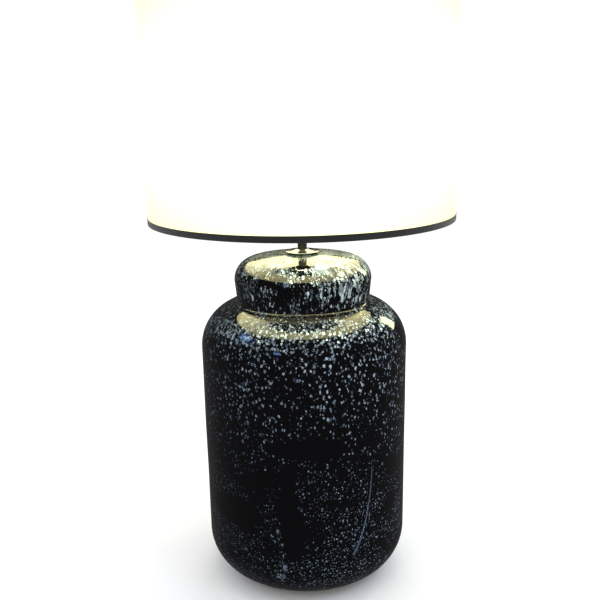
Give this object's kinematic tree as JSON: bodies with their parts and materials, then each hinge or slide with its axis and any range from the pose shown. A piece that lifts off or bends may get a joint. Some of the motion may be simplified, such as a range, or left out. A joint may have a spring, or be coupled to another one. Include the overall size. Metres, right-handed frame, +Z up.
{
  "type": "table lamp",
  "caption": "Table lamp with a black blown-glass body shaped like a lidded jar, short stem, switched lampholder, clear bulb and black-trimmed cream drum shade.",
  "frame": {"origin": "centre of the felt foot's underside, on the table", "axes": "+Z up along the stem, -Y towards the front, +Y towards the cord inlet at the rear, +X to the right seen from the front"},
  "size_m": [0.3544, 0.3544, 0.6979],
  "materials": {
    "black_glass": "glossy black blown glass with silver leaf flecks melted into its surface",
    "clear_glass": "clear thin glass",
    "felt": "pressed black felt",
    "rubber": "moulded black rubber, dull",
    "zinc_steel": "zinc-plated steel",
    "polished_steel": "polished and plated, mirror-like",
    "brass": "plain turned or pressed brass",
    "nickel": "nickel-plated pressed metal",
    "nylon": "natural nylon",
    "black_paint": "black powder coat, satin",
    "black_plastic": "moulded black plastic, satin",
    "porcelain": "fired white porcelain, matt",
    "light_rod": "yellow phosphor coating on thin glass rods, glowing",
    "cream_fabric": "cream woven cloth, lit from behind",
    "white_film": "stiff white translucent film behind the cloth",
    "white_wire": "white epoxy-coated steel wire",
    "black_tape": "black woven tape"
  },
  "bodies": {
    "base": {"glass_body": "black_glass", "felt_foot": "felt", "base_gasket": "rubber", "base_plate": "zinc_steel", "lock_washer": "zinc_steel", "base_nut": "brass", "centre_pipe": "zinc_steel", "neck_bush": "nylon", "neck_gasket": "rubber", "top_disc": "polished_steel", "stem_sleeve": "black_paint", "cord_grommet": "rubber", "holder_cover": "black_plastic", "cover_nut": "brass", "grub_screw": "zinc_steel", "holder_shell": "black_plastic", "holder_core": "porcelain", "screw_socket": "brass", "centre_contact": "brass", "side_contact": "brass", "terminal_blocks": "brass", "terminal_screws": "zinc_steel", "fixed_contacts": "brass"},
    "switch": {"switch_bar": "black_plastic", "switch_bridge": "brass"},
    "clamp_ring": {"shade_ring": "black_plastic"},
    "bulb": {"bulb_globe": "clear_glass", "bulb_cap": "nickel", "bulb_insulator": "black_glass", "bulb_tip": "nickel", "bulb_mount": "clear_glass", "bulb_rods": "light_rod", "bulb_leads": "nickel"},
    "shade": {"shade_fabric": "cream_fabric", "shade_liner": "white_film", "top_wire": "white_wire", "bottom_wire": "white_wire", "shade_arms": "white_wire", "shade_carrier": "white_wire", "top_trim": "black_tape", "bottom_trim": "black_tape"}
  },
  "joints": [
    {"name": "shade_turn", "type": "hinge", "parent": "base", "child": "shade", "pos_m": [0, 0, 0.46], "axis": [0, 0, 1], "continuous": true},
    {"name": "clamp_ring_turn", "type": "hinge", "parent": "base", "child": "clamp_ring", "pos_m": [0, 0, 0.465], "axis": [0, 0, 1], "range_deg": [0, 360]},
    {"name": "bulb_turn", "type": "hinge", "parent": "base", "child": "bulb", "pos_m": [0, 0, 0.47], "axis": [0, 0, 1], "range_deg": [0, 360]},
    {"name": "switch_push", "type": "slide", "parent": "base", "child": "switch", "axis": [1, 0, 0], "range_m": [-0.005, 0]}
  ]
}
